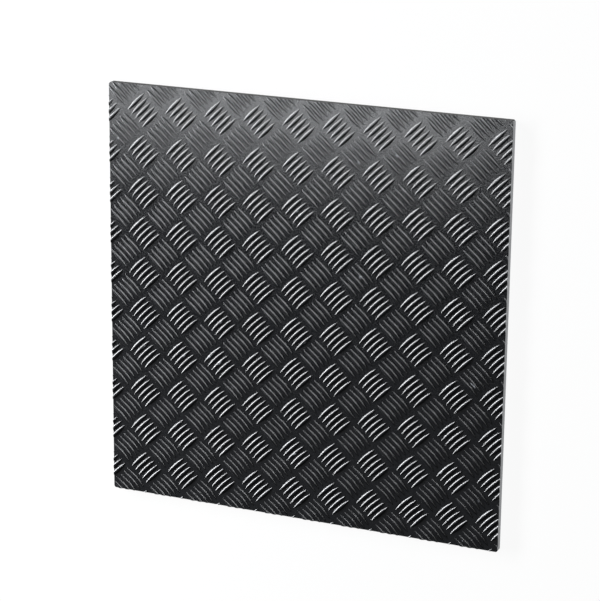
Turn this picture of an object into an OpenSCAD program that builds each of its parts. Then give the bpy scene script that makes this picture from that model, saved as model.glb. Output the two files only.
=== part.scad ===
// Black aluminium checker plate: a flat blank with a five-bar tread rolled into its upper face.
// The plate lies flat on the ground plane with the tread up; the middle of its underside is the origin.

/* [Plate] */
// Width of the blank from side to side
plate_w = 490; // [300:1:600]
// Length of the blank from front to back
plate_l = 500; // [300:1:600]
// Thickness of the plate between the bars
base_t = 8; // [3:0.1:12]
// Radius of the blank's four corners
corner_r = 3; // [0.5:0.1:6]

/* [Tread] */
// Distance between groups of the same lean, in both directions
pitch = 48.7; // [46.5:0.1:60]
// Bars side by side in one group
bars_per_group = 5; // [1:1:5]
// Distance from bar to bar within a group
bar_step = 6.6; // [6.2:0.1:7]
// Length of a bar at its foot
bar_l = 31.5; // [22:0.1:32.5]
// Width of a bar at its foot
bar_w = 5.4; // [4:0.1:5.9]
// Height of a bar above the plate
bar_h = 1.5; // [0.8:0.1:2]
// Width of the flat crest on a bar
crest_w = 1.8; // [1:0.1:3]
// Sideways place of a rising group from the plate's middle
tread_x = -6.1; // [-24:0.1:24]
// Lengthways place of a rising group from the plate's middle
tread_y = -23.3; // [-24:0.1:24]

/* [Hidden] */

// Turn of the tread's cells from the plate's sides, in degrees
cell_turn = 45;
// Side of one square cell, which holds one group of bars
cell = pitch * sin(cell_turn);
// Radius of the arc on each side of a bar at its foot
foot_r = (bar_l * bar_l + bar_w * bar_w) / (4 * bar_w);
// Distance of that arc's centre from the bar's middle line
arc_off = foot_r - bar_w / 2;
// Inward run of a bar's flank from foot to crest
flank_run = (bar_w - crest_w) / 2;
// Share of a bar's height by which its flanks run on down into the plate
root_share = 0.125;
root_depth = bar_h * root_share;
root_r = foot_r + flank_run * root_share;
// Reach of a bar's tips from its middle along the plate's sides, at the root
bar_reach = sqrt(root_r * root_r - arc_off * arc_off) * cos(cell_turn);
// Cells counted from the plate's middle to beyond its corners
cells = ceil((plate_w + plate_l) * cos(cell_turn) / (2 * cell)) + 1;
// Place of a rising group in the turned frame of the cells
tread_u = tread_x * cos(cell_turn) + tread_y * sin(cell_turn);
tread_v = tread_y * cos(cell_turn) - tread_x * sin(cell_turn);

// Bars of the tread in the frame of the cells, each as its two places and its lean;
// the cells alternate like a chequerboard between the two leans
bars = [
    for (m = [-cells:cells], n = [-cells:cells], k = [0:bars_per_group - 1])
        let (lean = abs(m + n) % 2)
        let (beside = (k - (bars_per_group - 1) / 2) * bar_step)
        [tread_u + m * cell + lean * beside, tread_v + n * cell + (1 - lean) * beside, lean]
];

// Distance of a bar from the plate's middle, sideways and lengthways
function sideways(b) = abs(b[0] * cos(cell_turn) - b[1] * sin(cell_turn));
function lengthways(b) = abs(b[0] * sin(cell_turn) + b[1] * cos(cell_turn));

// True where a bar lies wholly on the blank, clear of its rounded corners
function whole(b) =
    sideways(b) + bar_reach < plate_w / 2 - corner_r && lengthways(b) + bar_reach < plate_l / 2 - corner_r;

// True where a bar is cut by the blank's outline
function cut(b) =
    !whole(b) && sideways(b) - bar_reach < plate_w / 2 && lengthways(b) - bar_reach < plate_l / 2;

// The blank with its rounded corners, up to a given height
module blank(height) {
    linear_extrude(height = height) {
        square([plate_w - 2 * corner_r, plate_l], center = true);
        square([plate_w, plate_l - 2 * corner_r], center = true);
        for (sx = [-1, 1], sy = [-1, 1])
            translate([sx * (plate_w / 2 - corner_r), sy * (plate_l / 2 - corner_r)])
                circle(r = corner_r);
    }
}

// One side of a bar: a cone whose wall is the bar's flank
module flank(side) {
    translate([0, side * arc_off, base_t - root_depth])
        cylinder(h = root_depth + bar_h, r1 = root_r, r2 = foot_r - flank_run);
}

// One lens-shaped bar, within the cones of both its flanks
module bar(b) {
    translate([b[0], b[1], 0])
        rotate([0, 0, 2 * cell_turn * b[2]])
            intersection() {
                flank(1);
                flank(-1);
            }
}

// The plate with its tread; bars at the rim end where the blank was sheared
module tread_plate() {
    color("#232325")
        union() {
            blank(base_t);
            rotate([0, 0, cell_turn])
                for (b = bars)
                    if (whole(b))
                        bar(b);
            intersection() {
                blank(base_t + bar_h);
                rotate([0, 0, cell_turn])
                    for (b = bars)
                        if (cut(b))
                            bar(b);
            }
        }
}

tread_plate();
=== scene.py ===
"""Looks of a black aluminium checker plate: its rolled tread, black coat and two bare sheared sides."""

import math

import bmesh
import bpy
import numpy as np
from mathutils import Matrix, Vector


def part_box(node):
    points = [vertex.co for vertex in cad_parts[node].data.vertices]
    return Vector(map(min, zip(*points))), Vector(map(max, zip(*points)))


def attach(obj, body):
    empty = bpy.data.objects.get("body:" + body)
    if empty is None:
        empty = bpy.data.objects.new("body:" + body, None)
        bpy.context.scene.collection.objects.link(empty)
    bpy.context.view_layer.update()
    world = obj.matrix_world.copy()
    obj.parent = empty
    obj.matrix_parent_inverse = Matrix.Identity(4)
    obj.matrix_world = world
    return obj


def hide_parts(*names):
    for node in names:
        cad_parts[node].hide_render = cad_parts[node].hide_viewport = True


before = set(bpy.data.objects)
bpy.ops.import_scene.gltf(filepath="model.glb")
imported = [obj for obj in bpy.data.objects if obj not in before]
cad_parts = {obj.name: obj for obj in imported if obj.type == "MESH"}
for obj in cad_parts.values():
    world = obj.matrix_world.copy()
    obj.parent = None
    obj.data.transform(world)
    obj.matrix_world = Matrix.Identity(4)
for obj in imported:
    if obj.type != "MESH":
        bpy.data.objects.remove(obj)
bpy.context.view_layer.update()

MM = 0.001

# Sizes of the blank and its tread, as in the solid
PLATE_HIGH = np.array(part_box("tread_plate")[1])
BAR_H = 1.5 * MM
BASE_T = PLATE_HIGH[2] - BAR_H
CORNER_R = 3 * MM
PITCH = 48.7 * MM
BARS = 5
BAR_STEP = 6.6 * MM
BAR_L = 31.5 * MM
BAR_W = 5.4 * MM
TREAD_AT = np.array([-6.1, -23.3]) * MM
# Sine and cosine of the 45 degrees by which the cells are turned from the plate's sides
TURN = math.sqrt(0.5)
CELL = PITCH * TURN

# Lines along and across one bar of the tread, as shares of half its length and half its width
STATION_SHARES = np.array([-1, -0.8, -0.45, 0, 0.45, 0.8, 1])
LINE_SHARES = np.array([-1, -0.77, -0.6, -0.46, -0.27, 0, 0.27, 0.46, 0.6, 0.77, 1])
# Powers by which a bar's section falls from crest to foot, and its crest from middle to tip
SECTION_POWER = 2.4
CREST_POWER = 2.6

# Flat cuts that round a corner of the blank, as shares of its quarter turn
CORNER_CUT_SHARES = (0.125, 0.375, 0.625, 0.875)
# Cells laid past the blank's corners, so that the sheet covers all of it before it is cut
SPARE_CELLS = 2
# Distance within which the points of neighbouring cells are joined
MERGE = 0.002 * MM
# Bend past which an edge is shaded as sharp
SHARP_ANGLE = math.radians(32)


def lens_bars():
    """The bars of one cell as an array of bars, stations and lines, and each bar's place across the cell.

    The foot of a bar lies between two circular arcs, each through both tips. The crest falls from the middle
    to the tips as one minus a power of the station, and each section falls from the crest to the foot as one
    minus a power of the line.
    """
    beside = (np.arange(BARS) - (BARS - 1) / 2) * BAR_STEP
    radius = (BAR_L**2 + BAR_W**2) / (4 * BAR_W)
    u = (BAR_L / 2 * STATION_SHARES)[:, None]
    v = (np.sqrt(radius**2 - u**2) - radius + BAR_W / 2) * LINE_SHARES
    crest = 1 - np.abs(STATION_SHARES[:, None]) ** CREST_POWER
    section = 1 - np.abs(LINE_SHARES) ** SECTION_POWER
    shape = (BARS, len(STATION_SHARES), len(LINE_SHARES))
    along = np.broadcast_to(u, shape)
    across = beside[:, None, None] + v
    up = np.broadcast_to(BASE_T + BAR_H * crest * section, shape)
    return np.stack([along, across, up], axis=-1), beside


def zipped(low, high, points):
    """Triangles that close the strip between two chains of points, in order of their place along the cell."""
    steps = np.concatenate([points[low[1:], 0], points[high[1:], 0]])
    order = np.argsort(steps, kind="stable")
    on_low = order < len(low) - 1
    at_low = np.cumsum(on_low) - on_low
    at_high = np.cumsum(~on_low) - ~on_low
    ahead = np.concatenate([low[1:], high[1:]])[order]
    return np.stack([low[at_low], ahead, high[at_high]], axis=1)


def quads(a, b, c, d):
    """Four-sided faces from four arrays of corners."""
    return np.stack([a.ravel(), b.ravel(), c.ravel(), d.ravel()], axis=1)


def tread_cell():
    """Points, quads and triangles of one square cell, with its bars along it and the flat face round them.

    The flat face is strips of quads between the feet of neighbouring bars and between their tips and the
    cell's rim, and zipped triangles from the outer bars to the rim. The rim has the same points on all sides.
    """
    bars, beside = lens_bars()
    half = CELL / 2
    level = np.full(BARS, BASE_T)
    side = np.full(BARS, half)
    rim = [
        np.stack([-side, beside, level], axis=1),
        np.stack([side, beside, level], axis=1),
        np.stack([beside, -side, level], axis=1),
        np.stack([beside, side, level], axis=1),
        np.array([[sx * half, sy * half, BASE_T] for sx in (-1, 1) for sy in (-1, 1)]),
    ]
    points = np.concatenate([bars.reshape(-1, 3), *rim])
    grid = np.arange(bars[..., 0].size).reshape(bars.shape[:3])
    ends = np.split(np.arange(grid.size, len(points)), np.cumsum([BARS] * 4))
    left, right, front, back, corner = ends
    four = np.concatenate([
        quads(grid[:, :-1, :-1], grid[:, 1:, :-1], grid[:, 1:, 1:], grid[:, :-1, 1:]),
        quads(grid[:-1, :-1, -1], grid[:-1, 1:, -1], grid[1:, 1:, 0], grid[1:, :-1, 0]),
        quads(left[:-1], grid[:-1, 0, 0], grid[1:, 0, 0], left[1:]),
        quads(grid[:-1, -1, 0], right[:-1], right[1:], grid[1:, -1, 0]),
    ])
    near = np.concatenate([[left[0], corner[0]], front, [corner[2], right[0]]])
    far = np.concatenate([[left[-1], corner[1]], back, [corner[3], right[-1]]])
    three = np.concatenate([
        zipped(near, grid[0, :, 0], points),
        zipped(far, grid[-1, :, -1], points)[:, ::-1],
    ])
    return points, four, three


def tread_sheet():
    """The whole tread before shearing, turned by 45 degrees.

    The cell is repeated as a chequerboard, with a quarter turn in every other cell, out past the corners.
    """
    points, four, three = tread_cell()
    reach = math.ceil((PLATE_HIGH[0] + PLATE_HIGH[1]) / PITCH) + SPARE_CELLS
    count = np.arange(-reach, reach + 1)
    m, n = (a.ravel() for a in np.meshgrid(count, count))
    centre = np.stack([(m - n) * CELL * TURN, (m + n) * CELL * TURN], axis=1) + TREAD_AT
    on_plate = np.all(np.abs(centre) < PLATE_HIGH[:2] + PITCH / 2, axis=1)
    lean = ((m + n) % 2)[on_plate]
    centre = centre[on_plate]
    u = np.where(lean[:, None] == 0, points[None, :, 0], -points[None, :, 1])
    v = np.where(lean[:, None] == 0, points[None, :, 1], points[None, :, 0])
    sheet = np.stack([
        centre[:, :1] + (u - v) * TURN,
        centre[:, 1:] + (u + v) * TURN,
        np.broadcast_to(points[None, :, 2], u.shape),
    ], axis=-1)
    first = (np.arange(len(centre)) * len(points))[:, None, None]
    return sheet.reshape(-1, 3), (first + four).reshape(-1, 4), (first + three).reshape(-1, 3)


def sheared(mesh):
    """The sheet with its doubled points joined, cut along the blank's four sides and round its corners."""
    bm = bmesh.new()
    bm.from_mesh(mesh)
    bmesh.ops.remove_doubles(bm, verts=bm.verts, dist=MERGE)
    half = PLATE_HIGH[:2]
    for normal in (Vector((1, 0, 0)), Vector((0, 1, 0)), Vector((-1, 0, 0)), Vector((0, -1, 0))):
        at = Vector((normal.x * half[0], normal.y * half[1], 0))
        bmesh.ops.bisect_plane(
            bm, geom=[*bm.verts, *bm.edges, *bm.faces], plane_co=at, plane_no=normal, clear_outer=True
        )
    for sx in (-1, 1):
        for sy in (-1, 1):
            middle = Vector((sx * (half[0] - CORNER_R), sy * (half[1] - CORNER_R), 0))
            for share in CORNER_CUT_SHARES:
                angle = share * math.pi / 2
                normal = Vector((sx * math.cos(angle), sy * math.sin(angle), 0))
                close = [f for f in bm.faces if (f.calc_center_median().xy - middle.xy).length < BAR_L]
                geom = list(dict.fromkeys(g for f in close for g in (f, *f.edges, *f.verts)))
                bmesh.ops.bisect_plane(
                    bm, geom=geom, plane_co=middle + normal * CORNER_R, plane_no=normal, clear_outer=True
                )
    bm.to_mesh(mesh)
    bm.free()


def arrays_of(mesh):
    """Points, corners and face sizes of a mesh as arrays."""
    points = np.empty(len(mesh.vertices) * 3)
    mesh.vertices.foreach_get("co", points)
    corners = np.empty(len(mesh.loops), dtype=int)
    mesh.loops.foreach_get("vertex_index", corners)
    sizes = np.empty(len(mesh.polygons), dtype=int)
    mesh.polygons.foreach_get("loop_total", sizes)
    return points.reshape(-1, 3), corners, sizes


def mesh_from(name, points, corners, sizes):
    """A mesh from arrays of points, corners and face sizes."""
    mesh = bpy.data.meshes.new(name)
    mesh.vertices.add(len(points))
    mesh.vertices.foreach_set("co", points.ravel())
    mesh.loops.add(len(corners))
    mesh.loops.foreach_set("vertex_index", corners)
    mesh.polygons.add(len(sizes))
    mesh.polygons.foreach_set("loop_start", np.concatenate([[0], np.cumsum(sizes)[:-1]]))
    mesh.update(calc_edges=True)
    return mesh


def closed_plate(sheet):
    """The sheared sheet closed to a solid: walls straight down from its rim, and a fan over the underside.

    A rim edge belongs to one face only. Its wall quad runs back along that edge, and its underside triangle
    runs to the middle of the plate. Walls that face sideways take the second material.
    """
    points, corners, sizes = arrays_of(sheet)
    ends = np.cumsum(sizes)
    after = np.arange(1, len(corners) + 1)
    after[ends - 1] = ends - sizes
    start, stop = corners, corners[after]
    key = np.minimum(start, stop) * len(points) + np.maximum(start, stop)
    _, back, count = np.unique(key, return_inverse=True, return_counts=True)
    rim = count[back] == 1
    start, stop = start[rim], stop[rim]
    used, back = np.unique(np.concatenate([start, stop]), return_inverse=True)
    low = len(points) + back.reshape(2, -1)
    foot = points[used] * [1, 1, 0]
    middle = len(points) + len(used)
    walls = np.stack([stop, start, low[0], low[1]], axis=1)
    under = np.stack([low[1], low[0], np.full(len(start), middle)], axis=1)
    mesh = mesh_from(
        "tread_plate_skin",
        np.concatenate([points, foot, np.zeros((1, 3))]),
        np.concatenate([corners, walls.ravel(), under.ravel()]),
        np.concatenate([sizes, np.full(len(walls), 4), np.full(len(under), 3)]),
    )
    slots = np.zeros(len(mesh.polygons), dtype=int)
    run = np.abs(points[stop] - points[start])
    slots[len(sizes):len(sizes) + len(walls)] = run[:, 1] > run[:, 0]
    mesh.polygons.foreach_set("material_index", slots)
    return mesh


def linear(hex_code):
    """An sRGB hex colour as linear red, green, blue and full alpha, by the sRGB standard's own curve."""
    s = np.array([int(hex_code[i:i + 2], 16) for i in (1, 3, 5)]) / 255
    rgb = np.where(s <= 0.04045, s / 12.92, ((s + 0.055) / 1.055) ** 2.4)
    return (*rgb.tolist(), 1.0)


def add(tree, kind, settings=None, links=None):
    """Adds one node.

    Settings go to the node's own properties or, by socket name or number, to its inputs. Links join its
    inputs to other nodes' outputs. In a Mix node, input 0 is the share, 2 and 3 are its numbers and 6 and 7
    its colours, and the mixed colour comes out at 2.
    """
    made = tree.nodes.new(kind)
    for key, value in (settings or {}).items():
        if isinstance(key, str) and hasattr(made, key):
            setattr(made, key, value)
        else:
            made.inputs[key].default_value = value
    for key, source in (links or {}).items():
        tree.links.new(source, made.inputs[key])
    return made


def new_material(name):
    """A material with an empty node tree."""
    material = bpy.data.materials.new(name)
    material.use_nodes = True
    material.node_tree.nodes.clear()
    return material, material.node_tree


# Width and depth of the coat's grain, which is drawn coarse enough to show in the render
GRAIN = 1.4 * MM
GRAIN_DEPTH = 0.14 * MM
# Width of the rolled sheet's mottle, and of a scuff
MOTTLE = 60 * MM
SCUFF = 12 * MM
# Shares of a bar's height at which the ground ends and is full, and at which scuffs start and are full
GROUND_SHARES = (0.04, 0.01)
CREST_SHARES = (0.45, 0.8)
# Levels of noise at which the coat is first and fully rubbed, and at which grain is glossiest and dullest
RUBBED_LEVELS = (0.69, 0.75)
GRAIN_LEVELS = (0.3, 0.7)
# Roughness of the bars, and of the ground from its glossiest grain to its dullest
BAR_ROUGHNESS = 0.29
GROUND_ROUGHNESS = (0.18, 0.345)
COAT_IOR = 1.5


def black_coat():
    """Black satin coat on rolled aluminium: even gloss on the bars, and grainy gloss on the ground."""
    material, tree = new_material("black_coated_rolled_aluminium")
    place = add(tree, "ShaderNodeTexCoord").outputs["Object"]
    height = add(tree, "ShaderNodeSeparateXYZ", links={0: place}).outputs["Z"]
    noise = "ShaderNodeTexNoise"
    grain = add(tree, noise, {"Scale": 1 / GRAIN, "Detail": 2.0}, {"Vector": place}).outputs["Fac"]
    mottle = add(tree, noise, {"Scale": 1 / MOTTLE, "Detail": 4.0}, {"Vector": place}).outputs["Fac"]
    scuff = add(tree, noise, {"Scale": 1 / SCUFF, "Detail": 3.0}, {"Vector": place}).outputs["Fac"]
    ends_at, full_at = (BASE_T + share * BAR_H for share in GROUND_SHARES)
    ground = add(
        tree, "ShaderNodeMapRange", {"From Min": ends_at, "From Max": full_at}, {"Value": height}
    ).outputs["Result"]
    # The mottle of the rolled sheet gives two tones of black that are hardly apart
    tone = add(
        tree, "ShaderNodeMix", {"data_type": "RGBA", 6: linear("#050608"), 7: linear("#0a0b0e")}, {0: mottle}
    ).outputs[2]
    # Scuffs are rare and sit on the crests only, where the coat is rubbed through to grey
    first, fully = RUBBED_LEVELS
    rubbed = add(
        tree, "ShaderNodeMapRange", {"From Min": first, "From Max": fully}, {"Value": scuff}
    ).outputs["Result"]
    starts_at, full_at = (BASE_T + share * BAR_H for share in CREST_SHARES)
    crest = add(
        tree, "ShaderNodeMapRange", {"From Min": starts_at, "From Max": full_at}, {"Value": height}
    ).outputs["Result"]
    worn = add(tree, "ShaderNodeMath", {"operation": "MULTIPLY"}, {0: rubbed, 1: crest}).outputs[0]
    shade = add(
        tree, "ShaderNodeMix", {"data_type": "RGBA", 7: linear("#6a6c6f")}, {0: worn, 6: tone}
    ).outputs[2]
    # The grain breaks up the gloss of the ground and lifts it in fine bumps, and the bars stay smooth
    glossiest, dullest = GRAIN_LEVELS
    low, high = GROUND_ROUGHNESS
    grainy = add(
        tree, "ShaderNodeMapRange",
        {"From Min": glossiest, "From Max": dullest, "To Min": low, "To Max": high}, {"Value": grain},
    ).outputs["Result"]
    rough = add(tree, "ShaderNodeMix", {2: BAR_ROUGHNESS}, {0: ground, 3: grainy}).outputs[0]
    bumps = add(tree, "ShaderNodeMath", {"operation": "MULTIPLY"}, {0: grain, 1: ground}).outputs[0]
    normal = add(
        tree, "ShaderNodeBump", {"Strength": 1.0, "Distance": GRAIN_DEPTH}, {"Height": bumps}
    ).outputs["Normal"]
    coat = add(
        tree, "ShaderNodeBsdfPrincipled", {"Metallic": 0.0, "IOR": COAT_IOR},
        {"Base Color": shade, "Roughness": rough, "Normal": normal},
    )
    add(tree, "ShaderNodeOutputMaterial", links={"Surface": coat.outputs["BSDF"]})
    return material


# Scores that the shears leave: distance from one to the next, length down the cut, and depth
SCORE_STEP = 0.6 * MM
SCORE_L = 8 * MM
SCORE_DEPTH = 0.06 * MM
# Share of that depth that shows, and roughness of the cut from its smoothest score to its dullest
SCORE_DEPTH_SHARE = 0.3
EDGE_ROUGHNESS = (0.34, 0.52)


def sheared_edge():
    """Bare aluminium where the shears went through: light grey metal with fine scores down the cut."""
    material, tree = new_material("bare_sheared_aluminium")
    place = add(tree, "ShaderNodeTexCoord").outputs["Object"]
    scale = (1 / SCORE_STEP, 1 / SCORE_STEP, 1 / SCORE_L)
    down = add(tree, "ShaderNodeMapping", {"Scale": scale}, {"Vector": place}).outputs["Vector"]
    scores = add(tree, "ShaderNodeTexNoise", {"Scale": 1.0, "Detail": 3.0}, {"Vector": down}).outputs["Fac"]
    tone = add(
        tree, "ShaderNodeMix", {"data_type": "RGBA", 6: linear("#c3c5c7"), 7: linear("#e2e4e6")}, {0: scores}
    ).outputs[2]
    low, high = EDGE_ROUGHNESS
    rough = add(
        tree, "ShaderNodeMapRange", {"To Min": low, "To Max": high}, {"Value": scores}
    ).outputs["Result"]
    normal = add(
        tree, "ShaderNodeBump", {"Strength": SCORE_DEPTH_SHARE, "Distance": SCORE_DEPTH}, {"Height": scores}
    ).outputs["Normal"]
    metal = add(
        tree, "ShaderNodeBsdfPrincipled", {"Metallic": 1.0},
        {"Base Color": tone, "Roughness": rough, "Normal": normal},
    )
    add(tree, "ShaderNodeOutputMaterial", links={"Surface": metal.outputs["BSDF"]})
    return material


def plate_skin():
    """The plate as one closed skin, coated, but bare on its two sheared sides."""
    points, four, three = tread_sheet()
    sheet = mesh_from(
        "tread_sheet", points, np.concatenate([four.ravel(), three.ravel()]),
        np.concatenate([np.full(len(four), 4), np.full(len(three), 3)]),
    )
    sheared(sheet)
    mesh = closed_plate(sheet)
    bpy.data.meshes.remove(sheet)
    mesh.shade_smooth()
    mesh.set_sharp_from_angle(angle=SHARP_ANGLE)
    mesh.materials.append(black_coat())
    mesh.materials.append(sheared_edge())
    skin = bpy.data.objects.new("tread_plate_skin", mesh)
    bpy.context.collection.objects.link(skin)
    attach(skin, "root")
    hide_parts("tread_plate")


# The camera looks down on the flat plate from the photograph's side
CAMERA_AT = Vector((989.6, 770.4, 2333.0)) * MM
CAMERA_RIGHT = Vector((0.918572, 0.010091, -0.395127))
CAMERA_UP = Vector((-0.121727, 0.958309, -0.258509))
FOCAL_PX = 2306.8
IMAGE_W_PX = 600
# Width of the sensor, in the lens's own millimetres
SENSOR_W = 36.0
# Nearest and farthest distance that the camera sees, in metres
CLIP = (0.05, 50.0)


def photo_camera():
    """The camera, from its place, its right and up directions, and its focal length in picture widths."""
    lens = bpy.data.cameras.new("camera")
    lens.sensor_fit = "HORIZONTAL"
    lens.sensor_width = SENSOR_W
    lens.lens = SENSOR_W * FOCAL_PX / IMAGE_W_PX
    lens.clip_start, lens.clip_end = CLIP
    camera = bpy.data.objects.new("camera", lens)
    turned = Matrix((CAMERA_RIGHT, CAMERA_UP, CAMERA_RIGHT.cross(CAMERA_UP))).transposed()
    camera.matrix_world = Matrix.Translation(CAMERA_AT) @ turned.to_4x4()
    bpy.context.collection.objects.link(camera)
    bpy.context.scene.camera = camera


# Half the floor's side, in metres
FLOOR_HALF = 6.0
# Share of plain white in what the camera sees of the floor; the rest is paper, which takes the plate's shadow
FLOOR_WHITE_SHARE = 0.93
# Brightness of the floor in gloss, and of the world as a light, where 1 is white
FLOOR_GLOSS = 0.42
WORLD_LIGHT = 0.04


def floor():
    """A paper floor under the plate: white to the camera, light grey in gloss, with a faint shadow."""
    half = FLOOR_HALF
    mesh = bpy.data.meshes.new("floor")
    corners = [(-half, -half, 0), (half, -half, 0), (half, half, 0), (-half, half, 0)]
    mesh.from_pydata(corners, [], [(0, 1, 2, 3)])
    ground = bpy.data.objects.new("floor", mesh)
    bpy.context.collection.objects.link(ground)
    material, tree = new_material("white_paper_floor")
    path = add(tree, "ShaderNodeLightPath")
    camera, gloss = path.outputs["Is Camera Ray"], path.outputs["Is Glossy Ray"]
    share = add(
        tree, "ShaderNodeMath", {"operation": "MULTIPLY_ADD", 1: FLOOR_WHITE_SHARE}, {0: camera, 2: gloss}
    ).outputs[0]
    level = add(
        tree, "ShaderNodeMapRange", {"To Min": FLOOR_GLOSS, "To Max": 1.0}, {"Value": camera}
    ).outputs["Result"]
    paper = add(tree, "ShaderNodeBsdfDiffuse", {"Color": linear("#cbcbcb")}).outputs[0]
    white = add(tree, "ShaderNodeEmission", {"Color": linear("#ffffff")}, {"Strength": level}).outputs[0]
    mixed = add(tree, "ShaderNodeMixShader", links={0: share, 1: paper, 2: white})
    add(tree, "ShaderNodeOutputMaterial", links={"Surface": mixed.outputs[0]})
    mesh.materials.append(material)


LAMP_COLOUR = "#fafcff"
# Lamps that face the plate: name, place in metres, width and height in metres, and power in watts
LAMPS = (
    ("key", (-2.3, 0.45, 0.80), (3.0, 0.46), 345),
    ("back_panel", (0.17, 1.41, 2.18), (1.0, 0.6), 11),
    ("back_right_panel", (1.28, 1.52, 1.67), (1.0, 0.6), 4.0),
    ("right_panel", (1.77, 0.9, 1.67), (1.0, 0.6), 6.2),
)
# Cards that face straight down and show in gloss only, in the same order of values
CARDS = (
    ("top_card", (-0.29, 0.15, 0.5), (0.72, 0.1), 2.15),
    ("near_card", (0.2, 0.39, 0.6), (1.1, 0.16), 9.0),
    ("front_card", (-0.60, -0.9, 1.5), (1.4, 0.6), 0.55),
)


def softbox(name, place, size, power, aim):
    """A rectangular lamp at a place in metres, facing a point, with its width, height and power in watts."""
    lamp = bpy.data.lights.new(name, "AREA")
    lamp.shape = "RECTANGLE"
    lamp.size, lamp.size_y = size
    lamp.energy = power
    lamp.color = linear(LAMP_COLOUR)[:3]
    box = bpy.data.objects.new(name, lamp)
    box.location = place
    box.rotation_euler = (Vector(aim) - Vector(place)).to_track_quat("-Z", "Y").to_euler()
    bpy.context.collection.objects.link(box)
    return box


def studio():
    """Studio light.

    A long key, low on the left, draws the bright line on each bar that rises to the right. The panels and
    the near card draw the fainter lines on the other bars. The top card gives the ground its sheen at the
    back, and the front card a trace of it at the front. The world is white to the camera and a weak light to
    the plate.
    """
    for name, place, size, power in LAMPS:
        softbox(name, place, size, power, (0, 0, 0))
    for name, place, size, power in CARDS:
        softbox(name, place, size, power, (place[0], place[1], 0)).visible_diffuse = False
    world = bpy.data.worlds.new("studio")
    world.use_nodes = True
    tree = world.node_tree
    tree.nodes.clear()
    camera = add(tree, "ShaderNodeLightPath").outputs["Is Camera Ray"]
    level = add(
        tree, "ShaderNodeMapRange", {"To Min": WORLD_LIGHT, "To Max": 1.0}, {"Value": camera}
    ).outputs["Result"]
    white = add(tree, "ShaderNodeBackground", {"Color": linear("#ffffff")}, {"Strength": level})
    add(tree, "ShaderNodeOutputWorld", links={"Surface": white.outputs["Background"]})
    bpy.context.scene.world = world


plate_skin()
photo_camera()
floor()
studio()
bpy.context.scene.view_settings.view_transform = "Standard"
